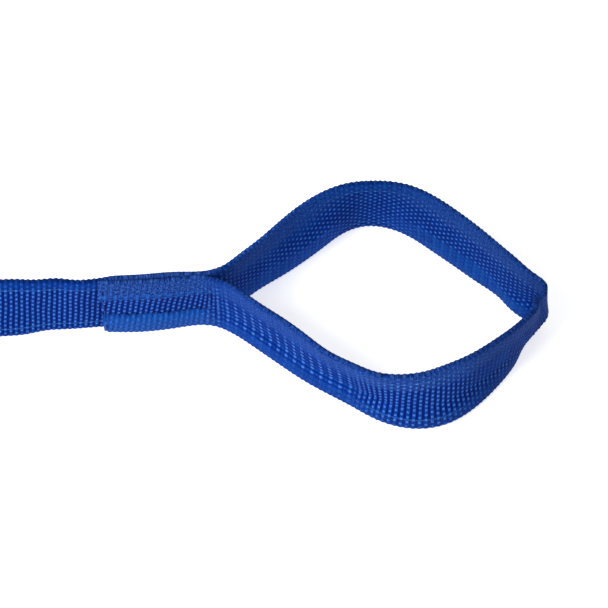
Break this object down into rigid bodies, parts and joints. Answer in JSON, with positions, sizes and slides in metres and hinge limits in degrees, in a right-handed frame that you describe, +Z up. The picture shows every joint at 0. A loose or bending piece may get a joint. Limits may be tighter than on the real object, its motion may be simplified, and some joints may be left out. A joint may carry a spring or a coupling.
{
  "type": "flat web sling",
  "caption": "Flat woven web lifting sling with a sewn eye at each end, standing on edge, its middle folded in a hank held by a tie strap.",
  "frame": {"origin": "on the ground under the middle of the hank, at the centre of the sling's outline", "axes": "+X along the sling towards the near eye; +Z up, across the width of the webbing, which stands on its edge; half a turn about Z swaps the two halves"},
  "size_m": [0.5036, 0.0982, 0.025],
  "materials": {
    "webbing": "woven ribbed royal blue polyester webbing",
    "thread": "blue polyester sewing thread",
    "tie": "black hook-and-loop tape",
    "label": "matt coated woven tag, blank",
    "label_thread": "white polyester sewing thread"
  },
  "bodies": {
    "hank": {"hank_webbing": "webbing"},
    "tie": {"hank_tie_strap": "tie"},
    "near_lead": {"near_lead_webbing": "webbing", "near_lap_webbing": "webbing", "near_splice_front_thread": "thread", "near_splice_back_thread": "thread"},
    "near_eye": {"near_eye_webbing": "webbing"},
    "far_lead": {"far_lead_webbing": "webbing", "far_lap_webbing": "webbing", "far_splice_front_thread": "thread", "far_splice_back_thread": "thread", "far_identity_label": "label", "far_label_thread": "label_thread"},
    "far_eye": {"far_eye_webbing": "webbing"}
  },
  "joints": [
    {"name": "tie_slide", "type": "slide", "parent": "hank", "child": "tie", "axis": [1, 0, 0], "range_m": [-0.008, 0.008]},
    {"name": "near_lead_flex", "type": "hinge", "parent": "hank", "child": "near_lead", "pos_m": [0.064, -0.0115, 0.0125], "axis": [0, 0, 1], "range_deg": [-40, 40]},
    {"name": "near_eye_flex", "type": "hinge", "parent": "near_lead", "child": "near_eye", "pos_m": [0.1443, -0.00425, 0.0125], "axis": [0, 0, 1], "range_deg": [-30, 30]},
    {"name": "far_lead_flex", "type": "hinge", "parent": "hank", "child": "far_lead", "pos_m": [-0.064, 0.0115, 0.0125], "axis": [0, 0, 1], "range_deg": [-40, 40]},
    {"name": "far_eye_flex", "type": "hinge", "parent": "far_lead", "child": "far_eye", "pos_m": [-0.1443, 0.00425, 0.0125], "axis": [0, 0, 1], "range_deg": [-30, 30]}
  ]
}
